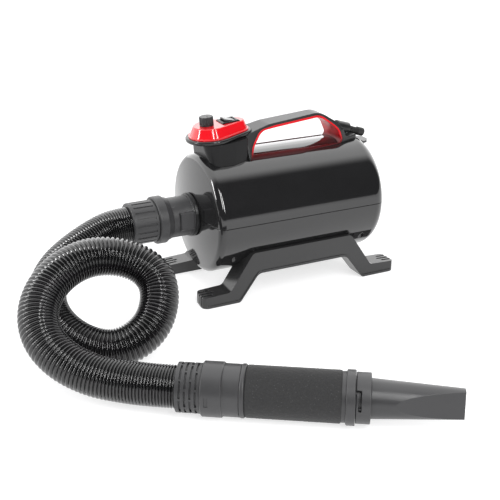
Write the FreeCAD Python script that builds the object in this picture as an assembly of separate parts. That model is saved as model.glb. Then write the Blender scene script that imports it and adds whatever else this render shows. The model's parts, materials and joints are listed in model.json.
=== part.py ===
import FreeCAD, Part
import math
import os
from FreeCAD import Vector, Rotation, Placement

os.makedirs("parts", exist_ok=True)

# Where the drum's middle lies in the part's frame. The origin is on the floor, at the
# middle of the ground that the dryer and its wand cover, and the rest of this file
# draws everything about the drum's own middle.
drum_middle = Vector(76, 209, 0)

# Barrel: the motor housing is a drum on its side, along X, with its outlet towards -X.
barrel_radius = 88.0
shell_wall = 2.8
floor_gap = 28.0
axis_height = floor_gap + barrel_radius
drum_top = axis_height + barrel_radius
barrel_front = -126.0
barrel_rear = 122.0
front_dome_depth = 18.0
front_corner_radius = 10.0
rear_dome_depth = 30.0
rear_corner_radius = 18.0
seam_height = axis_height + 2.0

# Fits
slip_gap = 0.3
running_gap = 0.08
seam_gap = 0.1
seam_groove = 0.9
fit_gap = 0.05

# Legs
leg_outer_side = barrel_radius - 4.0
leg_width = 32.0
foot_length = 326.0
foot_height = 17.0
arch_length = 208.0
bar_top = axis_height - 42.5
bar_bottom = floor_gap + 12.8
leg_lip_height = 3.6
slot_depth = 3.2
slot_width = 3.4
leg_lip_out = 1.2
pad_thickness = 2.0
pad_show = 0.8

# Handle and control pod
strap_half_width = 14.5
strap_top = drum_top + 43.0
saddle_half_width = 36.0
saddle_level = drum_top - 8.0
trim_thickness = 3.0
trim_base_level = drum_top - 3.0
trim_foot = 1.4
rail_inner_side = 26.0
pod_front = barrel_front + 2.0
pod_lean = 8.5
pod_wall = 3.0
loop_front = pod_front + 59.0
loop_foot_length = 17.0
loop_foot_half = 20.0
pod_half_width = 40.0
pod_top = drum_top + 22.0
rim_centre = pod_front + 15.0
rim_radius = 37.0
rim_thickness = 6.0
rim_tilt = 4.5
rim_tail_x = rim_centre + 39.0
rim_tail_half = 23.0
pod_floor = drum_top + 3.0
panel_margin = 4.5
panel_height = 15.0
panel_skin = 2.4
knob_x = rim_centre - 5.0
knob_radius = 10.2
knob_height = 13.0
switch_x = rim_centre + 28.5
switch_length = 27.0
switch_width = 24.0
switch_body_length = switch_length - 5.0
switch_body_width = switch_width - 4.0
switch_wall = 1.4

# Air way and hose coupling, all on the barrel's axis
duct_bore = 20.0
port_radius = 30.3
spigot_radius = 24.0
collar_radius = 29.4
collar_front = barrel_front - 55.0
collar_back = barrel_front - 22.0
ring_radius = 34.6
ring_front = collar_front - 22.0
cuff_radius = 30.6
cuff_mouth = ring_front - 38.0

# Hose
hose_radius = 25.5
hose_wall = 3.0

# Wand, drawn along +X from its cuff's mouth and then laid down
wand_start = Vector(-298, -320, 33)
wand_heading = -33.0
wand_direction = Vector(1, 0, 0)
wand_direction = Rotation(Vector(0, 0, 1), wand_heading).multVec(wand_direction)
wand_cuff_radius = 29.4
wand_cuff_end = 29.0
wand_collar_radius = 32.4
wand_collar_end = 54.2
wand_neck_radius = 30.8
wand_neck_end = 73.7
bead_radius = 31.6
bead_end = 80.0
sleeve_radius = 30.6
sleeve_end = 189.7
grip_tube_radius = 26.0
end_ring_end = 194.4
bayonet_radius = 31.8
bayonet_end = 205.2
twist_ring_radius = 29.5
twist_ring_end = 222.6
nozzle_root_radius = 23.4
nozzle_tip_radius = 17.7
nozzle_facet_start = 250.0
nozzle_end = 327.7
nozzle_mouth = 14.0
nozzle_wall = 2.0
nozzle_roll = 10.0

# Motor and fan, on the barrel's axis
stator_radius = 44.0
stator_front = 4.0
stator_back = 46.0
armature_radius = 24.0
air_gap = 0.6
shaft_radius = 4.0
shaft_front = -52.0
shaft_back = 88.0
commutator_radius = 15.0
fan_casing_radius = barrel_radius - 20.0
fan_radius = fan_casing_radius - 6.0
fan_front = -46.0
fan_back = -18.0
casing_wall = 2.0
bearing_radius = 11.0
bearing_width = 8.0

axis_point = Vector(0, 0, axis_height)
along_x = Vector(1, 0, 0)
along_y = Vector(0, 1, 0)
along_z = Vector(0, 0, 1)
far = 400.0


def export(name, shape):
    shape.translate(drum_middle)
    shape.exportStep("parts/" + name + ".step")
    print(name, "solids", len(shape.Solids), "volume", round(shape.Volume), "valid", shape.isValid())


def group(shapes):
    return Part.makeCompound(shapes)


def box(x0, x1, y0, y1, z0, z1):
    return Part.makeBox(x1 - x0, y1 - y0, z1 - z0, Vector(x0, y0, z0))


def rod(radius, x0, x1, y=0.0, z=axis_height):
    return Part.makeCylinder(radius, x1 - x0, Vector(x0, y, z), along_x)


def tube(outer, inner, x0, x1, y=0.0, z=axis_height):
    return rod(outer, x0, x1, y, z).cut(rod(inner, x0 - 1, x1 + 1, y, z))


def post(radius, x, y, z0, z1):
    return Part.makeCylinder(radius, z1 - z0, Vector(x, y, z0), along_z)


def cone(r0, r1, x0, x1, y=0.0, z=axis_height):
    return Part.makeCone(r0, r1, x1 - x0, Vector(x0, y, z), along_x)


def around_axis(shape, count, start=0.0, centre=axis_point, axis=along_x):
    copies = []
    for i in range(count):
        copy = shape.copy()
        copy.rotate(centre, axis, start + 360.0 * i / count)
        copies.append(copy)
    return copies


def cut_all(shape, tools):
    for tool in tools:
        shape = shape.cut(tool)
    return shape


def fuse_all(shapes):
    result = shapes[0]
    for shape in shapes[1:]:
        result = result.fuse(shape)
    return result.removeSplitter()


def side_view(a, b):
    return Vector(a, 0, b)


def end_view(a, b):
    return Vector(0, a, b)


def plan_view(a, b):
    return Vector(a, b, 0)


def outline(corners, view):
    """A closed wire through the corners (a, b, radius), each rounded by its radius."""
    edges = []
    count = len(corners)
    ends = []
    for i in range(count):
        before = corners[i - 1]
        here = corners[i]
        after = corners[(i + 1) % count]
        point = view(here[0], here[1])
        if here[2] <= 0:
            ends.append((point, point, None))
            continue
        back = view(before[0], before[1]).sub(point)
        on = view(after[0], after[1]).sub(point)
        back.normalize()
        on.normalize()
        half = back.getAngle(on) / 2
        reach = here[2] / math.tan(half)
        start = point.add(Vector(back).multiply(reach))
        end = point.add(Vector(on).multiply(reach))
        middle = back.add(on)
        middle.normalize()
        to_arc = here[2] / math.sin(half) - here[2]
        ends.append((start, end, point.add(middle.multiply(to_arc))))
    for i in range(count):
        start, end, middle = ends[i]
        if middle is not None:
            edges.append(Part.Arc(start, middle, end).toShape())
        following = ends[(i + 1) % count][0]
        if end.distanceToPoint(following) > 1e-6:
            edges.append(Part.makeLine(end, following))
    return Part.Wire(edges)


def prism(corners, view, low, high):
    """The rounded outline, pushed along its own normal from low to high."""
    normals = {side_view: along_y, end_view: along_x, plan_view: along_z}
    normal = normals[view]
    face = Part.Face(outline(corners, view))
    face.translate(Vector(normal).multiply(low))
    return face.extrude(Vector(normal).multiply(high - low))


# Barrel
def dome_sphere(depth, corner):
    flat = barrel_radius - corner
    return (depth * depth + flat * flat - corner * corner) / (2 * (depth - corner))


def barrel_solid(inset):
    """The drum with its two domed ends, drawn in from its outer face by inset."""
    ends = []
    for sign, edge, depth, corner in (
        (-1, barrel_front, front_dome_depth, front_corner_radius),
        (1, barrel_rear, rear_dome_depth, rear_corner_radius),
    ):
        sphere = dome_sphere(depth, corner)
        centre_x = edge + sign * (depth - sphere)
        corner_r = barrel_radius - corner
        angle = math.atan2(corner_r, abs(edge - centre_x))
        radius = corner - inset

        def at(turn, x=edge, r=corner_r, rad=radius, s=sign):
            return Vector(x + s * rad * math.cos(turn), 0, axis_height + r + rad * math.sin(turn))

        def on_dome(turn, x=centre_x, rad=sphere - inset, s=sign):
            return Vector(x + s * rad * math.cos(turn), 0, axis_height + rad * math.sin(turn))

        corner_arc = Part.Arc(at(math.pi / 2), at((math.pi / 2 + angle) / 2), at(angle))
        dome_arc = Part.Arc(on_dome(angle), on_dome(angle / 2), on_dome(0))
        ends.append((corner_arc, dome_arc, at(math.pi / 2), on_dome(0)))
    front, rear = ends
    edges = [
        front[0].toShape(),
        front[1].toShape(),
        rear[0].toShape(),
        rear[1].toShape(),
        Part.makeLine(front[2], rear[2]),
        Part.makeLine(front[3], rear[3]),
    ]
    wire = Part.Wire(Part.__sortEdges__(edges))
    return Part.Face(wire).revolve(axis_point, along_x, 360)


barrel_outer = barrel_solid(0.0)
barrel_inner = barrel_solid(shell_wall)
cover_radius = barrel_radius - 12.0
boss_radius = 5.0
boss_side = barrel_radius - 18.0
boss_ends = (barrel_front + 18.0, barrel_rear - 14.0)
boss_spots = [(x, y) for x in boss_ends for y in (-boss_side, boss_side)]
leg_screw_side = leg_outer_side - 22.0
leg_screw_spots = [(x, y) for x in (-60.0, 60.0) for y in (-leg_screw_side, leg_screw_side)]
handle_screw_spots = [(rim_centre + 11.0, -22.0), (rim_centre + 11.0, 22.0)]
handle_screw_spots += [(loop_front - 9.0, -11.0), (loop_front - 9.0, 11.0)]
handle_screw_spots += [(barrel_rear - 17.0, -11.0), (barrel_rear - 17.0, 11.0)]
screw_radius = 2.0
shell_screw_level = axis_height - 38.0


def shells():
    shell = barrel_outer.cut(barrel_inner)
    shell = shell.cut(rod(port_radius + seam_gap, -far, 0))
    shell = shell.cut(rod(cover_radius + slip_gap, 0, far))
    rear_ledge = tube(barrel_radius, cover_radius - 4.0, barrel_rear - 5.0, barrel_rear - 2.0)
    rear_ledge = rear_ledge.common(barrel_outer)
    shell = shell.fuse(rear_ledge)
    groove = box(-far, far, -far, far, seam_height - seam_groove / 2, seam_height + seam_groove / 2)
    shell = shell.cut(groove.cut(barrel_solid(seam_groove)))
    below = box(-far, far, -far, far, -far, seam_height - seam_gap / 2)
    above = box(-far, far, -far, far, seam_height + seam_gap / 2, far)
    lower = shell.common(below)
    upper = shell.common(above)
    for x, y in boss_spots:
        boss = post(boss_radius, x, y, axis_height - 56.0, seam_height - seam_gap / 2)
        boss = boss.common(barrel_inner)
        lower = lower.fuse(boss)
        lower = lower.cut(post(screw_radius, x, y, 40.0, far))
        lower = lower.cut(post(4.2, x, y, 40.0, shell_screw_level))
        cap = post(boss_radius, x, y, seam_height + seam_gap / 2, far).common(barrel_inner)
        upper = upper.fuse(cap)
        upper = upper.cut(post(screw_radius, x, y, floor_gap, seam_height + 20.0))
    for x, y in leg_screw_spots:
        boss = post(boss_radius, x, y, floor_gap, bar_bottom + 31.0).common(barrel_outer)
        lower = lower.fuse(boss)
        lower = lower.cut(post(screw_radius, x, y, 0.0, bar_bottom + 27.2))
    for x, y in handle_screw_spots:
        upper = upper.cut(post(screw_radius, x, y, axis_height + 34.0, far))
    return upper.removeSplitter(), lower.removeSplitter()


def handle_screw_level(x, y):
    return axis_height + math.sqrt((barrel_radius - shell_wall) ** 2 - (abs(y) + 3.4) ** 2) - 0.05


def screw(x, y, head_z, length, head_radius=3.8):
    """A pan-head screw pointing up, its head's underside at head_z."""
    head = post(head_radius, x, y, head_z - 2.4, head_z)
    shank = post(screw_radius - 0.02, x, y, head_z, head_z + length)
    cross = box(x - 2.2, x + 2.2, y - 0.4, y + 0.4, head_z - 2.4, head_z - 1.2)
    other = box(x - 0.4, x + 0.4, y - 2.2, y + 2.2, head_z - 2.4, head_z - 1.2)
    return head.fuse(shank).cut(cross).cut(other)


# Legs
def leg_profile():
    """The arch seen from the side, mirrored about x = 0."""
    foot = foot_length / 2
    arch = arch_length / 2
    under = [
        (-foot, pad_show, 1.5),
        (-arch, pad_show, 6.0),
        (-74.0, bar_bottom, 12.0),
    ]
    over = [
        (-foot, foot_height, 3.0),
        (-119.0, foot_height + 2.0, 8.0),
        (-82.5, bar_top, 11.0),
    ]
    under_all = under + [(-x, z, r) for x, z, r in reversed(under)]
    over_all = over + [(-x, z, r) for x, z, r in reversed(over)]
    return under_all + list(reversed(over_all))


def leg(side):
    inner = leg_outer_side - leg_width
    y0, y1 = sorted((side * inner, side * leg_outer_side))
    body = prism(leg_profile(), side_view, y0, y1)
    lip_y0, lip_y1 = sorted((side * (leg_outer_side - 2.0), side * (leg_outer_side + leg_lip_out)))
    lip = prism(leg_profile(), side_view, lip_y0, lip_y1)
    above_lip = lip.copy()
    above_lip.translate(Vector(0, 0, leg_lip_height))
    lip = lip.cut(above_lip)
    body = body.fuse(lip)
    ends = outline(
        [
            (-foot_length / 2 + 3.0, side * inner, 7.0),
            (foot_length / 2 - 3.0, side * inner, 7.0),
            (foot_length / 2 + 1.0, side * (leg_outer_side + leg_lip_out), 10.0),
            (-foot_length / 2 - 1.0, side * (leg_outer_side + leg_lip_out), 10.0),
        ],
        plan_view,
    )
    body = body.common(Part.Face(ends).extrude(Vector(0, 0, far)))
    body = body.cut(barrel_outer)
    groove_y = inner + leg_width / 2
    for end in (-1, 1):
        for offset, reach in ((-7.5, 17.0), (0.0, 21.0), (7.5, 17.0)):
            y = side * (groove_y + offset)
            x_in = end * (foot_length / 2 - reach)
            x_out = end * (foot_length / 2 + 5.0)
            x0, x1 = sorted((x_in, x_out))
            floor = foot_height - slot_depth
            half = slot_width / 2
            body = body.cut(box(x0, x1, y - half, y + half, floor, foot_height + 9.0))
            body = body.cut(post(half, x_in, y, floor, foot_height + 9.0))
            x_face = end * (foot_length / 2 - slot_depth)
            x0, x1 = sorted((x_face, x_out))
            body = body.cut(box(x0, x1, y - half, y + half, 4.0, foot_height + 9.0))
    for x, y in leg_screw_spots:
        if y * side > 0:
            body = body.cut(post(screw_radius + slip_gap, x, y, 0.0, far))
            body = body.cut(post(4.2, x, y, 0.0, bar_bottom + 3.0))
    for x, y in pad_spots():
        if y * side > 0:
            body = body.cut(post(10.2, x, y, -1.0, pad_thickness))
    return body


def pad_spots():
    middle = leg_outer_side - leg_width / 2
    reach = foot_length / 2 - 21.0
    return [(x, y) for x in (-reach, reach) for y in (-middle, middle)]


def foot_pads():
    pads = []
    for x, y in pad_spots():
        pad = post(10.0, x, y, 0.0, pad_thickness)
        pads.append(pad.makeChamfer(0.5, [pad.Edges[2]]))
    return group(pads)


# Place of the cable entry
gland_start = Vector(barrel_rear - 4.0, 0, drum_top + 10.0)
gland_drop = 0.3
cord_bore = 3.4


def on_gland(shape):
    """Lays a piece drawn along +X from the origin onto the sloping place of the cable entry."""
    turn = Rotation(along_y, math.degrees(gland_drop))
    return shape.transformed(Placement(gland_start, turn).toMatrix())


# Handle
loop_outer = [
    (loop_front, drum_top - 24.0, 0.0),
    (loop_front, drum_top + 26.0, 6.0),
    (-24.0, strap_top - 6.4, 30.0),
    (64.0, strap_top + 1.4, 32.0),
    (96.0, drum_top + 23.5, 34.0),
    (103.5, drum_top + 4.0, 8.0),
    (126.0, drum_top + 5.0, 4.0),
    (126.0, drum_top - 24.0, 0.0),
]


def opening_corners(inset):
    """The loop's opening at the strap's inner face, drawn in by inset."""
    return [
        (-64.0 + inset, trim_base_level - 8.0 + inset, 3.0),
        (-57.0 + inset, drum_top + 10.0, 30.0),
        (-40.0 + inset, drum_top + 30.5 - inset * 0.4, 22.0),
        (-14.0, strap_top - 8.4 - inset, 30.0),
        (64.0 - inset * 0.5, strap_top - 2.0 - inset, 24.0),
        (90.0 - inset, drum_top + 20.5, 30.0),
        (98.5 - inset, drum_top - 1.0 + inset * 0.3, 7.0),
        (80.0, trim_base_level - 8.0 + inset, 12.0),
    ]


def wedge():
    """Sides that lean in from the saddle to the strap."""
    low = saddle_half_width + 1.5
    strap_level = strap_top - 4.0
    peak = strap_top + 8.0
    lean = (low - strap_half_width) / (strap_level - saddle_level)
    top = strap_half_width - lean * (peak - strap_level)
    return prism(
        [
            (-low, axis_height + 34.0, 0.0),
            (low, axis_height + 34.0, 0.0),
            (low, saddle_level, 6.0),
            (top, peak, 0.0),
            (-top, peak, 0.0),
            (-low, saddle_level, 6.0),
        ],
        end_view,
        -far,
        far,
    )


def loop_plan(shrink=0.0):
    side = saddle_half_width - shrink
    return prism(
        [
            (-125.0, -side, 0.0),
            (20.0, -side, 60.0),
            (98.0, -25.0 + shrink, 20.0),
            (127.0, -18.0 + shrink, 6.0),
            (127.0, 18.0 - shrink, 6.0),
            (98.0, 25.0 - shrink, 20.0),
            (20.0, side, 60.0),
            (-125.0, side, 0.0),
        ],
        plan_view,
        100.0,
        far,
    )


def pod_section(z, front, half, rear, waist, corner):
    """One level of the pod: flat front with rounded corners, sides closing to the waist."""
    corners = [
        (front, -half, corner),
        (rim_centre + 21.0, -half, 20.0),
        (rear, -waist, 4.0),
        (rear, waist, 4.0),
        (rim_centre + 21.0, half, 20.0),
        (front, half, corner),
    ]
    return outline(corners, lambda a, b: Vector(a, b, z))


def tilted(shape):
    copy = shape.copy()
    copy.rotate(Vector(rim_centre, 0, pod_top), along_y, -rim_tilt)
    return copy


def teardrop_prism(z0, z1, radius, tail_x, tail_half):
    face = Part.Face(teardrop(z0, radius, tail_x, tail_half))
    return face.extrude(Vector(0, 0, z1 - z0))


def loop_foot(gap, top):
    """The loop's front foot, which the pod covers."""
    half = loop_foot_half + gap
    return box(loop_front - loop_foot_length - gap, loop_front + 1.0, -half, half, axis_height, top)


def pod_solid():
    rear = loop_front - seam_gap
    waist = saddle_half_width * 0.9
    low = pod_section(drum_top - 34.0, pod_front + 4.0, pod_half_width + 1.5, rear, waist, 9.0)
    high = pod_section(pod_top + 12.0, pod_front - pod_lean, pod_half_width - 3.0, rear, waist, 26.0)
    pod = Part.makeLoft([low, high], True, True)
    top = tilted(box(-far, far, -far, far, pod_top, far))
    return pod.cut(top)


def pod_hollow():
    """The room inside the pod, under a roof that is open only below the rim."""
    wall = pod_wall
    rear = loop_front - wall - 1.0
    waist = saddle_half_width * 0.9 - wall
    front = pod_front - pod_lean + wall + 0.5
    low = pod_section(pod_floor, pod_front + wall + 1.0, pod_half_width - wall, rear, waist, 8.0)
    high = pod_section(pod_top + 12.0, front, pod_half_width - 3.0 - wall, rear, waist, 24.0)
    room = Part.makeLoft([low, high], True, True)
    roof = box(-far, far, -far, far, pod_top - wall, far)
    hatch = teardrop_prism(pod_top - wall - 1.0, far, rim_radius - 9.0, rim_tail_x - 6.0, rim_tail_half - 9.0)
    return room.cut(tilted(roof.cut(hatch)))


def rim_seat():
    return tilted(teardrop_prism(pod_top, pod_top + 60.0, rim_radius, rim_tail_x, rim_tail_half))


def control_pod():
    pod = pod_solid().cut(barrel_outer).cut(pod_hollow())
    pod = pod.cut(loop_foot(slip_gap, pod_floor + 0.1))
    return with_screw_holes(pod)


def handle_shell():
    loop = prism(loop_outer, side_view, -60.0, 60.0)
    loop = loop.common(wedge())
    loop = loop.common(loop_plan())
    loop = loop.cut(prism(opening_corners(0.0), side_view, -60.0, 60.0))
    loop = loop.fuse(loop_foot(0.0, pod_floor - slip_gap))
    boss = on_gland(rod(9.6, -20.0, 2.0, 0.0, 0.0))
    handle = loop.fuse(boss).cut(barrel_outer).cut(rim_seat())
    handle = handle.cut(on_gland(rod(6.6, 0.0, 20.0, 0.0, 0.0)))
    handle = handle.cut(on_gland(rod(7.6, -3.0, 4.0, 0.0, 0.0)))
    handle = handle.cut(on_gland(rod(cord_bore, -12.0, 0.0, 0.0, 0.0)))
    return with_screw_holes(handle)


def with_screw_holes(shape):
    for x, y in handle_screw_spots:
        hole = post(screw_radius, x, y, axis_height, handle_screw_level(x, y) + 9.0)
        shape = shape.cut(hole)
    return shape.removeSplitter()


def ring_slice(inset, half):
    return prism(opening_corners(inset), side_view, -half, half)


def handle_trim():
    """The red ring that lines the opening, flush with the loop's sloping sides."""
    ring = ring_slice(fit_gap, 60.0).cut(ring_slice(trim_thickness, 70.0))
    rails = ring_slice(fit_gap, 60.0).common(barrel_solid(-trim_foot))
    rails = rails.cut(box(-far, far, -rail_inner_side, rail_inner_side, 0.0, far))
    ring = ring.fuse(rails)
    ring = ring.common(wedge())
    ring = ring.common(loop_plan(0.2))
    return ring.cut(barrel_solid(-fit_gap))


def teardrop(z, radius, tail_x, tail_half):
    """A round front about the rim's centre, drawn out to a narrow tail."""
    turn = math.asin((radius - tail_half) / (tail_x - rim_centre))
    touch_x = rim_centre + radius * math.sin(turn)
    touch_y = radius * math.cos(turn)
    end_x = tail_x + tail_half * math.sin(turn)
    end_y = tail_half * math.cos(turn)
    near_touch = Vector(touch_x, -touch_y, z)
    far_touch = Vector(touch_x, touch_y, z)
    near_end = Vector(end_x, -end_y, z)
    far_end = Vector(end_x, end_y, z)
    front = Part.Arc(far_touch, Vector(rim_centre - radius, 0, z), near_touch).toShape()
    tail = Part.Arc(near_end, Vector(tail_x + tail_half, 0, z), far_end).toShape()
    sides = [Part.makeLine(near_touch, near_end), Part.makeLine(far_end, far_touch)]
    return Part.Wire([front, sides[0], tail, sides[1]])


def pod_rim():
    rim = teardrop_prism(pod_top, pod_top + rim_thickness, rim_radius, rim_tail_x, rim_tail_half)
    edges = [edge for edge in rim.Edges if abs(edge.BoundBox.ZMin - edge.BoundBox.ZMax) < 0.01]
    rim = rim.makeFillet(2.2, edges)
    pocket = teardrop_prism(pod_top - 1.0, pod_top + 20.0, rim_radius - panel_margin - 8.0, rim_tail_x, 10.0)
    return tilted(rim.cut(pocket))


def panel_level():
    return pod_top + rim_thickness


def control_panel():
    base = panel_level()
    top = base + panel_height
    flange_radius = rim_radius - panel_margin
    flange_tail = rim_tail_half - panel_margin
    flange = teardrop_prism(base, base + 2.0, flange_radius, rim_tail_x + 1.0, flange_tail)
    low = teardrop(base + 2.0, flange_radius - 2.2, rim_tail_x + 1.0, flange_tail - 2.0)
    high = teardrop(top, flange_radius - 8.0, rim_tail_x, flange_tail - 5.0)
    bump = Part.makeLoft([low, high], True, True)
    top_edges = [edge for edge in bump.Edges if edge.BoundBox.ZMin > top - 0.01]
    bump = bump.makeFillet(2.0, top_edges)
    low_in = teardrop(base - 1.0, flange_radius - 5.0, rim_tail_x, flange_tail - 5.0)
    high_in = teardrop(top - panel_skin, flange_radius - 10.4, rim_tail_x - 1.0, flange_tail - 8.0)
    hollow = Part.makeLoft([low_in, high_in], True, True)
    panel = flange.fuse(bump).cut(hollow)
    panel = panel.cut(post(3.7, knob_x, 0.0, base, far))
    half_x = switch_body_length / 2 + 0.2
    half_y = switch_body_width / 2 + 0.2
    panel = panel.cut(box(switch_x - half_x, switch_x + half_x, -half_y, half_y, base - 2.0, far))
    return tilted(panel)


def speed_knob():
    floor = panel_level() + panel_height + slip_gap
    knob = post(knob_radius, knob_x, 0.0, floor, floor + knob_height)
    knob = knob.makeFillet(1.4, [knob.Edges[0]])
    flute_count = 12
    flute_ring = knob_radius + 0.9
    flutes = []
    for i in range(flute_count):
        angle = 2 * math.pi * (i + 0.5) / flute_count
        x = knob_x + flute_ring * math.cos(angle)
        flutes.append(post(2.1, x, flute_ring * math.sin(angle), floor + 2.4, far))
    knob = cut_all(knob, flutes)
    knob = knob.cut(post(3.0, knob_x, 0.0, floor - 1.0, floor + 9.0))
    mark = box(knob_x - 0.6, knob_x + 0.6, -knob_radius + 1.5, -2.0, floor + knob_height - 0.6, far)
    return tilted(knob.cut(mark))


def potentiometer():
    ceiling = panel_level() + panel_height - panel_skin
    body = post(8.0, knob_x, 0.0, ceiling - 9.0, ceiling - 0.1)
    neck = post(3.5, knob_x, 0.0, ceiling - 1.0, ceiling + 2.3)
    hole = post(1.55, knob_x, 0.0, ceiling - 7.0, far)
    return tilted(body.fuse(neck).cut(hole))


def pot_shaft():
    ceiling = panel_level() + panel_height - panel_skin
    shaft = post(1.5, knob_x, 0.0, ceiling - 6.9, ceiling + 4.0)
    head = post(2.98, knob_x, 0.0, ceiling + 3.0, ceiling + 10.5)
    return tilted(shaft.fuse(head))


def switch_housing():
    top = panel_level() + panel_height
    half_x = switch_length / 2
    half_y = switch_width / 2
    bezel = box(switch_x - half_x, switch_x + half_x, -half_y, half_y, top, top + 2.2)
    edges = [edge for edge in bezel.Edges if edge.BoundBox.ZMin > top + 2.1]
    bezel = bezel.makeChamfer(1.3, edges)
    half_x = switch_body_length / 2
    half_y = switch_body_width / 2
    body = box(switch_x - half_x, switch_x + half_x, -half_y, half_y, top - 10.0, top + 0.5)
    half_x = half_x - switch_wall
    half_y = half_y - switch_wall
    well = box(switch_x - half_x, switch_x + half_x, -half_y, half_y, top - 7.5, far)
    pin_length = switch_body_width + 2.0
    pin_hole = Part.makeCylinder(1.05, pin_length, Vector(switch_x, -pin_length / 2, top - 1.0), along_y)
    return tilted(bezel.fuse(body).cut(well).cut(pin_hole))


def rocker():
    top = panel_level() + panel_height
    profile = [
        (-8.2, top - 2.5, 0.5),
        (8.2, top - 2.5, 0.5),
        (8.2, top + 1.6, 0.8),
        (0.0, top + 3.2, 10.0),
        (-8.2, top + 5.8, 0.8),
    ]
    half = switch_body_width / 2 - switch_wall - 0.4
    cap = prism([(switch_x + x, z, r) for x, z, r in profile], side_view, -half, half)
    hub = Part.makeCylinder(2.6, 2 * half, Vector(switch_x, -half, top - 1.0), along_y)
    half = switch_body_width / 2 - 0.2
    pin = Part.makeCylinder(1.0, 2 * half, Vector(switch_x, -half, top - 1.0), along_y)
    return tilted(cap.fuse(hub).fuse(pin))


# Cable entry
def strain_relief():
    body = cone(6.0, 5.2, 0.0, 14.0, 0.0, 0.0).fuse(rod(5.2, 14.0, 30.0, 0.0, 0.0))
    body = body.fuse(rod(7.6, -3.0, 2.0, 0.0, 0.0)).fuse(rod(6.4, 20.0, 32.0, 0.0, 0.0))
    ribs = []
    for i in range(4):
        ribs.append(tube(9.0, 4.5, 5.0 + 3.6 * i, 6.6 + 3.6 * i, 0.0, 0.0))
    body = cut_all(body, ribs).cut(rod(cord_bore, -10.0, 40.0, 0.0, 0.0))
    tip = [edge for edge in body.Edges if edge.BoundBox.XMin > 31.9 and edge.Length > 30.0]
    if tip:
        body = body.makeFillet(2.0, tip)
    return on_gland(body)


# Rear cover and filter
filter_front = barrel_rear + 2.0
filter_thickness = 8.0
tab_lift = 12.0


def rear_cover():
    shell = barrel_outer.cut(barrel_inner).common(rod(cover_radius, 60.0, far))
    rim = tube(cover_radius, cover_radius - 2.6, barrel_rear + 0.5, barrel_rear + 20.0).common(barrel_outer)
    cover = shell.fuse(rim)
    slots = []
    for i in range(-6, 7):
        y = i * 9.0
        half = math.sqrt((cover_radius - 14.0) ** 2 - y * y)
        slots.append(box(100.0, far, y - 2.2, y + 2.2, axis_height - half, axis_height + half))
    bar = box(100.0, far, -far, far, axis_height - 1.6, axis_height + 1.6)
    bars = [bar.translated(Vector(0, 0, z)) for z in (-32.0, 0.0, 32.0)]
    grille_cut = slots[0].fuse(slots[1:])
    grille_cut = grille_cut.cut(bars[0].fuse(bars[1:]))
    cover = cover.cut(grille_cut)
    tab_root = barrel_rear + 11.0
    tab = prism(
        [
            (tab_root, -14.0, 0.0),
            (tab_root + 15.0, -14.0, 3.0),
            (tab_root + 20.0, -8.0, 3.0),
            (tab_root + 20.0, 8.0, 3.0),
            (tab_root + 15.0, 14.0, 3.0),
            (tab_root, 14.0, 0.0),
        ],
        plan_view,
        axis_height + cover_radius - 3.2,
        axis_height + cover_radius - 0.1,
    )
    tab.rotate(Vector(tab_root, 0, axis_height + cover_radius - 3.0), along_y, -tab_lift)
    tab = tab.cut(barrel_inner.common(rod(cover_radius, 60.0, far)))
    tab = tab.cut(tube(barrel_radius + 4.0, cover_radius, 60.0, barrel_rear + 19.0))
    return cover.fuse(tab).removeSplitter()


def filter_foam():
    return rod(cover_radius - 3.2, filter_front, filter_front + filter_thickness)


def filter_frame():
    frame_front = barrel_rear - 10.0
    ring = tube(barrel_radius - shell_wall - slip_gap, cover_radius - 12.0, frame_front, barrel_rear - 5.3)
    reach = axis_height + cover_radius - 10.0
    spokes = around_axis(box(frame_front + 1.0, frame_front + 4.0, -2.0, 2.0, axis_height, reach), 6)
    hub = rod(9.0, frame_front + 1.0, frame_front + 4.0)
    frame = ring.fuse(spokes + [hub])
    for x, y in boss_spots:
        frame = frame.cut(post(boss_radius + 0.4, x, y, 0.0, far))
    return frame.removeSplitter()


# Outlet and hose coupling
def outlet_port():
    dome_face = barrel_front - front_dome_depth
    inside = dome_face + shell_wall + 3.2
    flange = tube(port_radius + 9.0, duct_bore, inside, inside + 3.0)
    body = tube(port_radius - seam_gap, duct_bore, collar_back + slip_gap, inside + 3.0)
    knuckle = tube(port_radius + 2.0, duct_bore + 5.0, collar_back + slip_gap, dome_face - 0.4)
    spigot = tube(spigot_radius, duct_bore, collar_front, collar_back + slip_gap + 1.0)
    port = fuse_all([flange, body, knuckle, spigot])
    groove = tube(spigot_radius + 1.0, spigot_radius - 1.6, collar_front + 5.0, collar_front + 8.2)
    return port.cut(groove)


def coupling_seal():
    ring = Part.makeTorus(spigot_radius - 0.1, 1.5, Vector(collar_front + 6.6, 0, axis_height), along_x)
    return ring.common(rod(spigot_radius + 0.9, -far, 0.0))


def coupling_collar():
    body = tube(collar_radius, spigot_radius + 1.0, collar_front + slip_gap, collar_back)
    body = body.fuse(tube(spigot_radius + 1.2, spigot_radius + 0.05, collar_back - 12.0, collar_back))
    body = body.fuse(tube(collar_radius + 1.4, collar_radius - 1.0, collar_back - 3.0, collar_back))
    side = -collar_radius
    low = axis_height - 11.0
    lug = box(collar_back - 24.0, collar_back - 2.0, side - 3.2, side + 3.0, low, low + 26.0)
    edges = [edge for edge in lug.Edges if edge.BoundBox.YMax < side - 3.1]
    lug = lug.makeChamfer(1.4, edges)
    body = body.fuse(lug)
    low = axis_height + 9.0
    slot = box(collar_front - 1.0, collar_front + 5.5, side - 3.0, side + 2.2, low, low + 7.0)
    slot.rotate(axis_point, along_x, -30.0)
    return body.cut(slot).removeSplitter()


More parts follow.
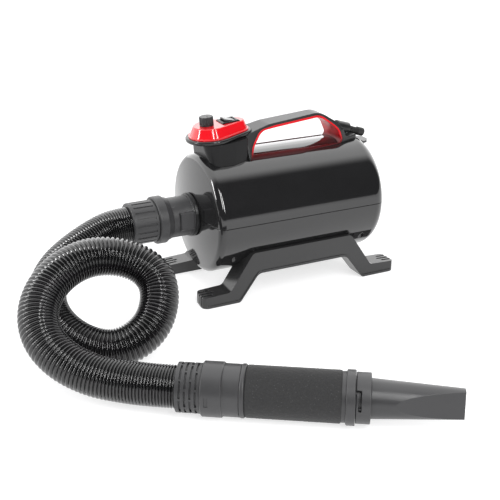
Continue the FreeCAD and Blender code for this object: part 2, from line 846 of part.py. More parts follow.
def coupling_ring():
    flange = tube(ring_radius, cuff_radius - 3.0, ring_front, ring_front + 15.0)
    edges = [edge for edge in flange.Edges if edge.Length > 2 * math.pi * (ring_radius - 0.5)]
    flange = flange.makeFillet(2.0, edges)
    neck = cone(ring_radius - 2.0, collar_radius + 1.0, ring_front + 15.0, collar_front - slip_gap)
    neck = neck.cut(rod(cuff_radius - 3.0, -far, 0.0))
    ring = flange.fuse(neck).removeSplitter()
    return ring.cut(rod(25.0 + running_gap, -far, 0.0))


def hose_cuff():
    body = tube(cuff_radius, duct_bore, cuff_mouth, ring_front - slip_gap)
    edges = [edge for edge in body.Edges if edge.BoundBox.XMax < cuff_mouth + 0.01 and edge.Length > 150.0]
    body = body.makeFillet(2.0, edges)
    ridge_cut = box(cuff_mouth + 5.0, ring_front - 4.0, -1.5, 1.5, axis_height + cuff_radius - 1.2, far)
    body = cut_all(body, around_axis(ridge_cut, 20, 9.0))
    inner = tube(25.0, duct_bore, ring_front - 1.0, collar_front - slip_gap)
    return body.fuse(inner).removeSplitter()


# Hose
hose_route = [
    Vector(cuff_mouth, 0, axis_height),
    Vector(cuff_mouth - 23, 0, axis_height),
    Vector(-296, -8, 108),
    Vector(-331, -22, 97),
    Vector(-361, -42, 86),
    Vector(-382, -69, 72),
    Vector(-390, -101, 57),
    Vector(-384, -135, 43),
    Vector(-366, -166, 32),
    Vector(-339, -188, 26.5),
    Vector(-308, -195, 33),
    Vector(-278, -188, 48),
    Vector(-259, -169, 71),
    Vector(-254, -146, 94),
    Vector(-271, -126, 111),
    Vector(-303, -112, 122),
    Vector(-339, -110, 124),
    Vector(-374, -120, 116),
    Vector(-403, -139, 101),
    Vector(-420, -166, 81),
    Vector(-421, -197, 62),
    Vector(-406, -228, 46),
    Vector(-381, -256, 36),
    Vector(-352, -280, 33),
    wand_start.sub(Vector(wand_direction).multiply(29.0)),
    wand_start,
]


def route_wire(points):
    """Straight runs joined by tangent arcs; each arc uses 0.45 of its shorter run."""
    edges = []
    radii = []
    start = points[0]
    for before, here, after in zip(points, points[1:], points[2:]):
        back = before.sub(here)
        on = after.sub(here)
        reach = 0.45 * min(back.Length, on.Length)
        back.normalize()
        on.normalize()
        half = back.getAngle(on) / 2
        radius = reach * math.tan(half)
        radii.append(radius)
        arc_start = here.add(Vector(back).multiply(reach))
        arc_end = here.add(Vector(on).multiply(reach))
        inward = back.add(on)
        inward.normalize()
        middle = here.add(inward.multiply(radius / math.sin(half) - radius))
        edges.append(Part.LineSegment(start, arc_start).toShape())
        edges.append(Part.Arc(arc_start, middle, arc_end).toShape())
        start = arc_end
    edges.append(Part.LineSegment(start, points[-1]).toShape())
    return Part.Wire(edges), radii


def swept(wire, radius, points):
    circle = Part.Wire(Part.makeCircle(radius, points[0], points[1].sub(points[0])))
    return wire.makePipeShell([circle], True, False)


def hose():
    wire, radii = route_wire(hose_route)
    outer = swept(wire, hose_radius, hose_route)
    inner = swept(wire, hose_radius - hose_wall, hose_route)
    shape = outer.cut(inner)
    section = math.pi * (hose_radius**2 - (hose_radius - hose_wall) ** 2)
    print("hose arc radii", [round(radius) for radius in radii])
    print("hose length", round(wire.Length, 1), "volume", round(shape.Volume))
    print("hose section x length", round(section * wire.Length))
    return shape


# Wand
def lay_wand(shape):
    return shape.transformed(Placement(wand_start, Rotation(along_z, wand_heading)).toMatrix())


def w_tube(outer, inner, x0, x1):
    return tube(outer, inner, x0, x1, 0.0, 0.0)


wand_centre = Vector(0, 0, 0)
wand_bore = 20.0
swivel_radius = 24.0


def wand_cuff():
    body = w_tube(wand_cuff_radius, wand_bore, 0.0, wand_cuff_end)
    slots = []
    for i in range(4):
        x = 4.6 + 6.2 * i
        window = w_tube(far, wand_cuff_radius - 2.4, x, x + 2.4)
        ribs = around_axis(box(0.0, 40.0, -1.1, 1.1, 0.0, 60.0), 8, 22.5 * (i % 2), wand_centre)
        slots.append(cut_all(window, ribs))
    body = cut_all(body, slots)
    spigot = w_tube(swivel_radius, wand_bore, wand_cuff_end - 1.0, wand_collar_end - 3.0)
    catch = w_tube(swivel_radius + 1.5, wand_bore, wand_collar_end - 8.0, wand_collar_end - 5.0)
    return lay_wand(fuse_all([body, spigot, catch]))


def wand_collar():
    body = w_tube(wand_collar_radius, swivel_radius + running_gap, wand_cuff_end + slip_gap, wand_collar_end)
    edges = [edge for edge in body.Edges if edge.Length > 2 * math.pi * (wand_collar_radius - 0.5)]
    body = body.makeChamfer(1.2, edges)
    catch_room = w_tube(swivel_radius + 2.0, wand_bore, wand_collar_end - 8.4, wand_collar_end + 1.0)
    body = body.cut(catch_room)
    body = body.cut(box(34.4, 39.1, -far, -wand_collar_radius + 1.4, -6.0, 6.0))
    return lay_wand(body)


def wand_neck():
    body = w_tube(wand_neck_radius, wand_bore, wand_collar_end, wand_neck_end)
    seat = w_tube(grip_tube_radius + fit_gap, wand_bore - 1.0, wand_collar_end + 6.0, wand_neck_end + 1.0)
    return lay_wand(body.cut(seat))


def wand_bead():
    body = w_tube(bead_radius, grip_tube_radius, wand_neck_end, bead_end)
    edges = [edge for edge in body.Edges if edge.Length > 2 * math.pi * (bead_radius - 0.5)]
    return lay_wand(body.makeFillet(2.4, edges))


def grip_tube():
    return lay_wand(w_tube(grip_tube_radius, wand_bore, wand_collar_end + 6.0, end_ring_end))


def foam_sleeve():
    body = w_tube(sleeve_radius, grip_tube_radius, bead_end, sleeve_end)
    edges = [edge for edge in body.Edges if edge.Length > 2 * math.pi * (sleeve_radius - 0.5)]
    return lay_wand(body.makeFillet(1.2, edges))


def grip_end_ring():
    return lay_wand(w_tube(sleeve_radius - 1.2, grip_tube_radius, sleeve_end, end_ring_end))


def bayonet_collar():
    body = w_tube(bayonet_radius, wand_bore, end_ring_end, bayonet_end)
    edges = [edge for edge in body.Edges if edge.Length > 2 * math.pi * (bayonet_radius - 0.5)]
    body = body.makeChamfer(1.0, edges)
    lug = box(end_ring_end + 1.0, bayonet_end, -12.0, 2.0, -bayonet_radius - 0.6, -bayonet_radius + 3.0)
    body = body.fuse(lug.common(rod(bayonet_radius + 0.9, 0.0, far, 0.0, 0.0)))
    spigot = w_tube(swivel_radius, wand_bore, bayonet_end - 1.0, twist_ring_end - 3.0)
    pin = Part.makeCylinder(1.6, 3.2, Vector(bayonet_end + 5.0, -swivel_radius + 0.6, 0), Vector(0, -1, 0))
    return lay_wand(fuse_all([body, spigot] + around_axis(pin, 2, 0.0, wand_centre)))


def nozzle_seal():
    ring = Part.makeTorus(swivel_radius + 0.2, 0.9, Vector(twist_ring_end - 5.5, 0, 0), along_x)
    return lay_wand(ring.cut(rod(swivel_radius, -far, far, 0.0, 0.0)))


def twist_ring():
    bore = swivel_radius + running_gap
    body = w_tube(twist_ring_radius, bore, bayonet_end + slip_gap, twist_ring_end - 2.5)
    body = body.fuse(w_tube(twist_ring_radius, wand_bore, twist_ring_end - 2.5, twist_ring_end))
    edges = [edge for edge in body.Edges if edge.Length > 2 * math.pi * (twist_ring_radius - 0.5)]
    body = body.makeFillet(1.2, edges)
    ways = []
    for i in range(13):
        root = Vector(bayonet_end + 5.0, -swivel_radius + 1.0, 0)
        way = Part.makeCylinder(1.95, 8.0, root, Vector(0, -1, 0))
        way.rotate(wand_centre, along_x, -42.0 + 3.5 * i)
        ways.append(way)
    entry = box(bayonet_end - 1.0, bayonet_end + 5.0, -far, -swivel_radius + 1.0, -1.95, 1.95)
    entry.rotate(wand_centre, along_x, -42.0)
    groove = w_tube(swivel_radius + 1.2, wand_bore - 1.0, twist_ring_end - 6.6, twist_ring_end - 4.4)
    for piece in ways + [entry]:
        body = cut_all(body, around_axis(piece, 2, 0.0, wand_centre))
    return lay_wand(body.cut(groove))


def nozzle():
    outer = cone(nozzle_root_radius, nozzle_tip_radius, twist_ring_end, nozzle_end, 0.0, 0.0)
    root = nozzle_root_radius - nozzle_wall
    tip = nozzle_tip_radius - nozzle_wall
    inner = cone(root, tip, twist_ring_end - 1.0, nozzle_end + 1.0, 0.0, 0.0)
    share = (nozzle_facet_start - twist_ring_end) / (nozzle_end - twist_ring_end)
    start_half = nozzle_root_radius + (nozzle_tip_radius - nozzle_root_radius) * share

    def slab(shrink):
        slope = (start_half - nozzle_mouth / 2) / (nozzle_end - nozzle_facet_start)
        x0 = twist_ring_end - 2.0
        x1 = nozzle_end + 2.0
        half0 = start_half + slope * (nozzle_facet_start - x0) - shrink
        half1 = nozzle_mouth / 2 - slope * 2.0 - shrink
        corners = [(x0, -half0, 0.0), (x1, -half1, 0.0), (x1, half1, 0.0), (x0, half0, 0.0)]
        return prism(corners, plan_view, -60.0, 60.0)

    shape = outer.common(slab(0.0)).cut(inner.common(slab(nozzle_wall)))
    shape.rotate(wand_centre, along_x, -nozzle_roll)
    return lay_wand(shape)


# Motor and fan
def stator_core():
    ring = tube(stator_radius, armature_radius + air_gap, stator_front, stator_back)
    windows = [box(0.0, 60.0, -34.0, 34.0, axis_height + 26.0, axis_height + 38.0)]
    windows.append(box(0.0, 60.0, -34.0, 34.0, axis_height - 38.0, axis_height - 26.0))
    window = rod(37.0, 0.0, 60.0).common(windows[0].fuse(windows[1]))
    return ring.cut(window)


def field_coils():
    coils = []
    for side in (-1, 1):
        z0, z1 = sorted((axis_height + side * 27.0, axis_height + side * 33.0))
        outer = box(stator_front - 8.0, stator_back + 8.0, -16.0, 16.0, z0, z1)
        inner = box(stator_front - 1.0, stator_back + 1.0, -9.0, 9.0, z0 - 1, z1 + 1)
        coils.append(outer.cut(inner))
    return coils


def motor_shaft():
    return rod(shaft_radius, shaft_front, shaft_back)


def armature():
    core = tube(armature_radius, shaft_radius, stator_front, stator_back)
    slots = around_axis(box(0.0, 60.0, -1.2, 1.2, axis_height + 16.0, far), 12)
    core = cut_all(core, slots)
    ends = [tube(18.0, shaft_radius, x, x + 9.0) for x in (stator_front - 9.0, stator_back)]
    return fuse_all([core] + ends)


def commutator():
    body = tube(commutator_radius, shaft_radius, stator_back + 10.0, stator_back + 24.0)
    slit = box(0.0, 90.0, -0.3, 0.3, axis_height + commutator_radius - 1.0, far)
    return cut_all(body, around_axis(slit, 24))


def bearing(x0):
    return tube(bearing_radius, shaft_radius + 0.03, x0, x0 + bearing_width)


front_bearing_x = stator_front - 20.0
rear_bearing_x = stator_back + 26.0


def motor_bracket(bearing_x, inner_x, outer_x):
    """A dished end frame: a bearing pocket, four arms and a ring that meets the core."""
    x0, x1 = sorted((inner_x, outer_x))
    ring = tube(stator_radius, stator_radius - 4.0, x0, x1)
    pocket = tube(bearing_radius + 3.0, bearing_radius, bearing_x, bearing_x + bearing_width)
    reach = axis_height + stator_radius
    x0 = bearing_x + 1.0
    x1 = bearing_x + bearing_width - 1.0
    arm = box(x0, x1, -5.0, 5.0, axis_height + bearing_radius + 2.0, reach)
    return fuse_all([ring, pocket] + around_axis(arm, 4, 45.0))


def brush_holders():
    x0 = stator_back + 12.0
    holders = []
    for side in (-1, 1):
        y0, y1 = sorted((side * (commutator_radius + 0.8), side * 38.0))
        holder = box(x0, x0 + 10.0, y0, y1, axis_height - 6.0, axis_height + 6.0)
        y0, y1 = sorted((side * commutator_radius, side * 40.0))
        holders.append(holder.cut(box(x0 + 2.0, x0 + 8.0, y0, y1, axis_height - 4.0, axis_height + 4.0)))
    return holders


def carbon_brushes():
    x0 = stator_back + 14.0
    brushes = []
    for side in (-1, 1):
        y0, y1 = sorted((side * (commutator_radius - 2.0), side * 32.0))
        brush = box(x0 + 0.1, x0 + 5.9, y0, y1, axis_height - 3.9, axis_height + 3.9)
        brushes.append(brush.cut(rod(commutator_radius + 0.1, 0.0, 90.0)))
    return brushes


def impeller():
    back = tube(fan_radius, shaft_radius, fan_back - 3.5, fan_back - 2.0)
    hub = tube(10.0, shaft_radius, fan_front + 8.0, fan_back - 2.0)
    front = tube(fan_radius, 24.0, fan_front + 8.0, fan_front + 9.5)
    blade = box(fan_front + 9.5, fan_back - 3.5, -0.8, 0.8, axis_height + 20.0, axis_height + fan_radius)
    blade.rotate(Vector(0, 0, axis_height + 20.0), along_x, 38.0)
    blade = blade.common(rod(fan_radius, fan_front, fan_back))
    return fuse_all([back, hub, front] + around_axis(blade, 9))


def shaft_nut():
    turns = [math.pi * i / 3 for i in range(6)]
    corners = [(7.0 * math.cos(turn), axis_height + 7.0 * math.sin(turn), 0.0) for turn in turns]
    return prism(corners, end_view, fan_front + 2.0, fan_front + 8.0).cut(rod(shaft_radius, -far, 0.0))


def fan_casing():
    shell = tube(fan_casing_radius, fan_casing_radius - casing_wall, fan_front, fan_back)
    front = tube(fan_casing_radius, duct_bore + 2.0, fan_front, fan_front + casing_wall)
    back = tube(fan_casing_radius, 30.0, fan_back, fan_back + casing_wall)
    return fuse_all([shell, front, back])


def outlet_duct():
    x0 = barrel_front - front_dome_depth + shell_wall + 6.4
    pipe = tube(duct_bore + 3.0, duct_bore, x0, fan_front - slip_gap)
    flange = tube(duct_bore + 12.0, duct_bore, fan_front - 3.0, fan_front)
    return fuse_all([pipe, flange])


def motor_mount(x0, x1, hold):
    rim = barrel_radius - shell_wall - fit_gap
    ring = tube(rim, hold + fit_gap, x0, x1)
    hole = rod(5.5, x0 - 1, x1 + 1, 0.0, axis_height + (hold + rim) / 2)
    holes = around_axis(hole, 8, 22.5)
    return cut_all(ring, holes)


def control_board():
    top = pod_floor + 1.6
    x = rim_centre - 8.0
    board = box(x, x + 38.0, -24.0, 24.0, pod_floor, top)
    parts = [
        box(x + 2.0, x + 16.0, -18.0, 2.0, top, top + 9.0),
        box(x + 24.0, x + 36.0, -14.0, 16.0, top, top + 7.0),
        post(4.5, x + 11.0, 14.0, top, top + 10.0),
    ]
    return fuse_all([board] + parts)


upper, lower = shells()
export("upper_shell", upper)
export("lower_shell", lower)
export("left_leg", leg(-1))
export("right_leg", leg(1))
export("foot_pads", foot_pads())
export("leg_screws", group([screw(x, y, bar_bottom + 3.0, 24.0) for x, y in leg_screw_spots]))
export("shell_screws", group([screw(x, y, shell_screw_level, 55.0) for x, y in boss_spots]))
handle_screws = [screw(x, y, handle_screw_level(x, y), 8.5, 3.4) for x, y in handle_screw_spots]
export("handle_screws", group(handle_screws))
export("handle_shell", handle_shell())
export("control_pod", control_pod())
export("handle_trim", handle_trim())
export("pod_rim", pod_rim())
export("control_panel", control_panel())
export("speed_knob", speed_knob())
export("potentiometer", potentiometer())
export("pot_shaft", pot_shaft())
export("switch_housing", switch_housing())
export("rocker", rocker())
export("control_board", control_board())
export("strain_relief", strain_relief())
export("rear_cover", rear_cover())
export("filter_foam", filter_foam())
export("filter_frame", filter_frame())
export("outlet_port", outlet_port())
export("coupling_seal", coupling_seal())
export("coupling_collar", coupling_collar())
export("coupling_ring", coupling_ring())
export("hose_cuff", hose_cuff())
export("hose", hose())
export("wand_cuff", wand_cuff())
export("wand_collar", wand_collar())
export("wand_neck", wand_neck())
export("wand_bead", wand_bead())
export("grip_tube", grip_tube())
export("foam_sleeve", foam_sleeve())
export("grip_end_ring", grip_end_ring())
export("bayonet_collar", bayonet_collar())
export("nozzle_seal", nozzle_seal())
export("twist_ring", twist_ring())
export("nozzle", nozzle())
export("stator_core", stator_core())
export("field_coils", group(field_coils()))
export("motor_shaft", motor_shaft())
export("armature", armature())
export("commutator", commutator())
export("front_bearing", bearing(front_bearing_x))
export("rear_bearing", bearing(rear_bearing_x))
export("front_bracket", motor_bracket(front_bearing_x, stator_front, front_bearing_x))
export("rear_bracket", motor_bracket(rear_bearing_x, stator_back, rear_bearing_x + bearing_width))
export("brush_holders", group(brush_holders()))
export("carbon_brushes", group(carbon_brushes()))
export("impeller", impeller())
export("shaft_nut", shaft_nut())
export("fan_casing", fan_casing())
export("outlet_duct", outlet_duct())
export("front_mount", motor_mount(fan_back - 16.0, fan_back - 4.0, fan_casing_radius))
export("rear_mount", motor_mount(stator_back - 2.0, stator_back + 8.0, stator_radius))
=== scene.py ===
import json
import math
import bpy
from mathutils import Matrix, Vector, noise


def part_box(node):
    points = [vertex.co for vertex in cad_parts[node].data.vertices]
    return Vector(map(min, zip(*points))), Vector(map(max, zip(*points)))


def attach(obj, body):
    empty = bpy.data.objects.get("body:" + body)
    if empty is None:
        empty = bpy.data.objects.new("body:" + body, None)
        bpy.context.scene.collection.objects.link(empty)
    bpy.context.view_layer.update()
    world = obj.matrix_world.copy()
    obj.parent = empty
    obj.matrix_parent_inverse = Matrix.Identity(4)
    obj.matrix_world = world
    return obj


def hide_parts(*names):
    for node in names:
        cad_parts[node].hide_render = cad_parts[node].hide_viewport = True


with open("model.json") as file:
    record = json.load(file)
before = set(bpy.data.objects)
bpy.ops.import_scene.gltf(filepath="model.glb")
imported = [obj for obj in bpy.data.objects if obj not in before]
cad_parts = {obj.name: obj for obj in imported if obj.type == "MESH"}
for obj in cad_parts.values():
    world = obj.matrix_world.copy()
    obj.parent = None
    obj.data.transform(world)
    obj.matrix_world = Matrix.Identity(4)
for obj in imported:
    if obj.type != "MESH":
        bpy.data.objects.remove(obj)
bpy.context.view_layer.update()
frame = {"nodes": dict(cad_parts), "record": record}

nodes = frame["nodes"]
mm = 0.001
print("stage: frame loaded,", len(nodes), "nodes")


def middleOf(node):
    low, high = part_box(node)
    return (low + high) / 2


# the drum's middle set down on the floor, and the height of its axis
drumMiddle = Vector((middleOf("left_leg").x, middleOf("motor_shaft").y, 0.0))
drumAxis = middleOf("motor_shaft").z

# camera
cameraSetup = {
    "azimuth": -26.32,
    "elevation": 22.29,
    "distance": 1.5,
    "lens": 70.3,
    "sensor": 36.0,
    "clip": (0.05, 60.0),
    "aim": Vector((-46.65, 0.0, 41.52)) * mm,   # from the drum's middle on the floor
}


def makeCamera(setup):
    turn = math.radians(setup["azimuth"])
    rise = math.radians(setup["elevation"])
    back = Vector((math.sin(turn) * math.cos(rise), -math.cos(turn) * math.cos(rise), math.sin(rise)))
    data = bpy.data.cameras.new("studioCamera")
    data.lens = setup["lens"]
    data.sensor_width = setup["sensor"]
    data.clip_start, data.clip_end = setup["clip"]
    camera = bpy.data.objects.new("studioCamera", data)
    bpy.context.scene.collection.objects.link(camera)
    camera.location = drumMiddle + setup["aim"] + back * setup["distance"]
    camera.rotation_mode = "QUATERNION"
    camera.rotation_quaternion = (-back).to_track_quat("-Z", "Y")
    bpy.context.scene.camera = camera


makeCamera(cameraSetup)
bpy.context.scene.view_settings.view_transform = "Standard"


# small helpers for meshes
def newObject(name, vertices, faces, smooth=True):
    mesh = bpy.data.meshes.new(name)
    mesh.from_pydata(vertices, [], faces)
    mesh.validate()
    mesh.update()
    if smooth:
        mesh.polygons.foreach_set("use_smooth", [True] * len(mesh.polygons))
    obj = bpy.data.objects.new(name, mesh)
    bpy.context.scene.collection.objects.link(obj)
    return obj


def turnAt(index, count):
    return 2 * math.pi * index / count


# faces between rings of points that lie one after another
def ringFaces(ringCount, sideCount):
    faces = []
    for i in range(ringCount - 1):
        for j in range(sideCount):
            k = (j + 1) % sideCount
            a = i * sideCount
            b = a + sideCount
            faces.append((a + j, a + k, b + k, b + j))
    return faces


# coarse and fine unevenness of a soft surface
def lumpAt(place, setup):
    coarse, fine = setup["lumpScales"]
    return noise.noise(place * coarse) + setup["fineShare"] * noise.noise(place * fine)


# shader node groups, shared by the finishes
def newGroup(name, inputs, outputs):
    group = bpy.data.node_groups.new(name, "ShaderNodeTree")
    for label, kind, value in inputs:
        socket = group.interface.new_socket(name=label, in_out="INPUT", socket_type=kind)
        socket.default_value = value
    for label, kind in outputs:
        group.interface.new_socket(name=label, in_out="OUTPUT", socket_type=kind)
    start = group.nodes.new("NodeGroupInput")
    end = group.nodes.new("NodeGroupOutput")
    return group, start, end


def addNode(tree, kind, **settings):
    node = tree.nodes.new(kind)
    for key, value in settings.items():
        setattr(node, key, value)
    return node


def addMath(tree, operation, first, second=None, third=None):
    node = addNode(tree, "ShaderNodeMath", operation=operation)
    for index, value in enumerate((first, second, third)):
        if value is None:
            continue
        if isinstance(value, (int, float)):
            node.inputs[index].default_value = value
        else:
            tree.links.new(value, node.inputs[index])
    return node.outputs[0]


def addNoise(tree, vector, scale, detail=2.0, rough=0.5):
    node = addNode(tree, "ShaderNodeTexNoise")
    tree.links.new(vector, node.inputs["Vector"])
    if isinstance(scale, (int, float)):
        node.inputs["Scale"].default_value = scale
    else:
        tree.links.new(scale, node.inputs["Scale"])
    node.inputs["Detail"].default_value = detail
    node.inputs["Roughness"].default_value = rough
    return node.outputs["Fac"]


def scaleColour(tree, colour, factor):
    node = addNode(tree, "ShaderNodeVectorMath", operation="SCALE")
    tree.links.new(colour, node.inputs[0])
    tree.links.new(factor, node.inputs["Scale"])
    return node.outputs[0]


def mixColour(tree, factor, first, second):
    node = addNode(tree, "ShaderNodeMix", data_type="RGBA")
    tree.links.new(factor, node.inputs["Factor"])
    tree.links.new(first, node.inputs[6])
    tree.links.new(second, node.inputs[7])
    return node.outputs[2]


def objectPlace(tree):
    return addNode(tree, "ShaderNodeTexCoord").outputs["Object"]


# a pattern from 0 to 1 becomes a factor that swings round 1
def swingFactor(tree, pattern, amount, middle=1.0):
    swing = addMath(tree, "MULTIPLY_ADD", pattern, 2.0, -1.0)
    return addMath(tree, "MULTIPLY_ADD", swing, amount, middle)


# moulded skin: slow drift of colour and gloss, and a fine grain
skinSetup = {
    "driftDetail": 3.0,
    "smearScale": 95.0,
    "smearDetail": 4.0,
    "grainDetail": 2.0,
    "roughness": 0.6,
}


def makeSkinGroup(setup):
    group, start, end = newGroup(
        "mouldedSkin",
        [
            ("Colour", "NodeSocketColor", (0.5, 0.5, 0.5, 1.0)),
            ("Drift", "NodeSocketFloat", 0.15),
            ("Drift Scale", "NodeSocketFloat", 30.0),
            ("Gloss", "NodeSocketFloat", 0.3),
            ("Gloss Spread", "NodeSocketFloat", 0.06),
            ("Grain Scale", "NodeSocketFloat", 1400.0),
        ],
        [("Colour", "NodeSocketColor"), ("Roughness", "NodeSocketFloat"), ("Grain", "NodeSocketFloat")],
    )
    place = objectPlace(group)
    drift = addNoise(group, place, start.outputs["Drift Scale"], setup["driftDetail"])
    factor = swingFactor(group, drift, start.outputs["Drift"])
    group.links.new(scaleColour(group, start.outputs["Colour"], factor), end.inputs["Colour"])
    smear = addNoise(group, place, setup["smearScale"], setup["smearDetail"], setup["roughness"])
    gloss = swingFactor(group, smear, start.outputs["Gloss Spread"], start.outputs["Gloss"])
    group.links.new(gloss, end.inputs["Roughness"])
    fine = addNoise(group, place, start.outputs["Grain Scale"], setup["grainDetail"], setup["roughness"])
    group.links.new(fine, end.inputs["Grain"])
    return group


# edge wear and painted highlight: a lighter worn colour in patches along the edges, which also stands in
# for highlights there, and a rounded normal along the edges
edgeSetup = {"samples": 6, "gain": 5.0, "patchScale": 260.0, "patchDetail": 4.0, "patchRoughness": 0.7}


def makeEdgeGroup(setup):
    group, start, end = newGroup(
        "edgeWear",
        [
            ("Colour", "NodeSocketColor", (0.5, 0.5, 0.5, 1.0)),
            ("Worn Colour", "NodeSocketColor", (0.6, 0.6, 0.6, 1.0)),
            ("Radius", "NodeSocketFloat", 0.0008),
            ("Wear", "NodeSocketFloat", 0.4),
        ],
        [("Colour", "NodeSocketColor"), ("Normal", "NodeSocketVector")],
    )
    bevel = addNode(group, "ShaderNodeBevel", samples=setup["samples"])
    group.links.new(start.outputs["Radius"], bevel.inputs["Radius"])
    geometry = addNode(group, "ShaderNodeNewGeometry")
    dot = addNode(group, "ShaderNodeVectorMath", operation="DOT_PRODUCT")
    group.links.new(bevel.outputs["Normal"], dot.inputs[0])
    group.links.new(geometry.outputs["Normal"], dot.inputs[1])
    away = addMath(group, "SUBTRACT", 1.0, dot.outputs["Value"])
    patch = addNoise(
        group, objectPlace(group), setup["patchScale"], setup["patchDetail"], setup["patchRoughness"]
    )
    # where the edge colour is painted lighter, as wear and a painted highlight
    mask = addMath(group, "MULTIPLY", addMath(group, "MULTIPLY", away, setup["gain"]), patch)
    mask = addMath(group, "MULTIPLY", mask, start.outputs["Wear"])
    mask = addMath(group, "MINIMUM", addMath(group, "MAXIMUM", mask, 0.0), 1.0)
    wornAndHighlight = mixColour(group, mask, start.outputs["Colour"], start.outputs["Worn Colour"])
    group.links.new(wornAndHighlight, end.inputs["Colour"])
    group.links.new(bevel.outputs["Normal"], end.inputs["Normal"])
    return group


# open cells of foam: pits, walls and specks
foamSetup = {
    "wallScale": 420.0,
    "wallDetail": 4.0,
    "wallRoughness": 0.65,
    "wallShare": 0.6,
    "cellShare": 0.9,
    "speckScale": 310.0,
    "speckReach": 0.12,
    "speckLift": 2.0,
}


def makeFoamGroup(setup):
    group, start, end = newGroup(
        "foamCells",
        [
            ("Wall Colour", "NodeSocketColor", (0.5, 0.5, 0.5, 1.0)),
            ("Pit Colour", "NodeSocketColor", (0.1, 0.1, 0.1, 1.0)),
            ("Cell Scale", "NodeSocketFloat", 900.0),
            ("Speck", "NodeSocketFloat", 0.5),
        ],
        [("Colour", "NodeSocketColor"), ("Height", "NodeSocketFloat")],
    )
    place = objectPlace(group)
    cells = addNode(group, "ShaderNodeTexVoronoi", feature="SMOOTH_F1")
    group.links.new(place, cells.inputs["Vector"])
    group.links.new(start.outputs["Cell Scale"], cells.inputs["Scale"])
    walls = addNoise(group, place, setup["wallScale"], setup["wallDetail"], setup["wallRoughness"])
    depth = addMath(group, "MULTIPLY", cells.outputs["Distance"], setup["cellShare"])
    level = addMath(group, "MULTIPLY_ADD", walls, setup["wallShare"], depth)
    shade = mixColour(group, level, start.outputs["Pit Colour"], start.outputs["Wall Colour"])
    dots = addNode(group, "ShaderNodeTexVoronoi")
    group.links.new(place, dots.inputs["Vector"])
    dots.inputs["Scale"].default_value = setup["speckScale"]
    near = addMath(group, "LESS_THAN", dots.outputs["Distance"], setup["speckReach"])
    speck = addMath(group, "MULTIPLY", near, start.outputs["Speck"])
    lift = addMath(group, "MULTIPLY_ADD", speck, setup["speckLift"], 1.0)
    group.links.new(scaleColour(group, shade, lift), end.inputs["Colour"])
    group.links.new(level, end.inputs["Height"])
    return group


# lathe lines round the drum's axis, for turned and wound metal
turnedSetup = {"stretch": (1.0, 0.06, 0.06), "detail": 3.0, "roughness": 0.6}


def makeTurnedGroup(setup):
    group, start, end = newGroup(
        "turnedLines",
        [
            ("Colour", "NodeSocketColor", (0.5, 0.5, 0.5, 1.0)),
            ("Scale", "NodeSocketFloat", 700.0),
            ("Depth", "NodeSocketFloat", 0.3),
        ],
        [("Colour", "NodeSocketColor"), ("Height", "NodeSocketFloat")],
    )
    stretch = addNode(group, "ShaderNodeMapping")
    stretch.inputs["Scale"].default_value = setup["stretch"]
    group.links.new(objectPlace(group), stretch.inputs["Vector"])
    lines = addNoise(
        group, stretch.outputs["Vector"], start.outputs["Scale"], setup["detail"], setup["roughness"]
    )
    factor = swingFactor(group, lines, start.outputs["Depth"])
    group.links.new(scaleColour(group, start.outputs["Colour"], factor), end.inputs["Colour"])
    group.links.new(lines, end.inputs["Height"])
    return group


# painted shade: a darker colour below a height, for the part of the trim that sits down against the drum
# and lies in shadow there
def makePaintedShadeGroup():
    group, start, end = newGroup(
        "paintedLowShade",
        [
            ("Colour", "NodeSocketColor", (0.5, 0.5, 0.5, 1.0)),
            ("Low Colour", "NodeSocketColor", (0.1, 0.1, 0.1, 1.0)),
            ("Low", "NodeSocketFloat", 0.0),
            ("High", "NodeSocketFloat", 0.1),
        ],
        [("Colour", "NodeSocketColor")],
    )
    split = addNode(group, "ShaderNodeSeparateXYZ")
    group.links.new(objectPlace(group), split.inputs[0])
    ramp = addNode(group, "ShaderNodeMapRange", interpolation_type="SMOOTHSTEP")
    group.links.new(split.outputs["Z"], ramp.inputs["Value"])
    group.links.new(start.outputs["Low"], ramp.inputs["From Min"])
    group.links.new(start.outputs["High"], ramp.inputs["From Max"])
    shade = mixColour(group, ramp.outputs["Result"], start.outputs["Low Colour"], start.outputs["Colour"])
    group.links.new(shade, end.inputs["Colour"])
    return group


skinGroup = makeSkinGroup(skinSetup)
paintedShadeGroup = makePaintedShadeGroup()
edgeGroup = makeEdgeGroup(edgeSetup)
foamGroup = makeFoamGroup(foamSetup)
turnedGroup = makeTurnedGroup(turnedSetup)


def placeGroup(tree, group, **values):
    node = tree.nodes.new("ShaderNodeGroup")
    node.node_tree = group
    for key, value in values.items():
        socket = node.inputs[key.replace("_", " ")]
        socket.default_value = (*value, 1.0) if isinstance(value, tuple) else value
    return node


def newMaterial(name):
    material = bpy.data.materials.new(name)
    material.use_nodes = True
    tree = material.node_tree
    return material, tree, tree.nodes["Principled BSDF"]


def addBump(tree, shader, height, strength, distance, normal=None):
    bump = addNode(tree, "ShaderNodeBump")
    bump.inputs["Strength"].default_value = strength
    bump.inputs["Distance"].default_value = distance
    tree.links.new(height, bump.inputs["Height"])
    if normal is not None:
        tree.links.new(normal, bump.inputs["Normal"])
    tree.links.new(bump.outputs["Normal"], shader.inputs["Normal"])


# what a plastic's look is, unless it says otherwise; edge and grainDepth are in metres
plainPlastic = {
    "drift": 0.12,
    "driftScale": 30.0,
    "spread": 0.05,
    "grain": 0.08,
    "grainScale": 1400.0,
    "grainDepth": 0.0002,
    "edge": 0.0008,
    # how much lighter the edges are painted, as wear and a painted highlight
    "wearAndHighlight": 0.3,
    "wornAndHighlightGain": 2.2,
    "wornAndHighlightLift": 0.01,
    "specular": 0.5,
    "coat": 0.0,
    "coatRough": 0.03,
}


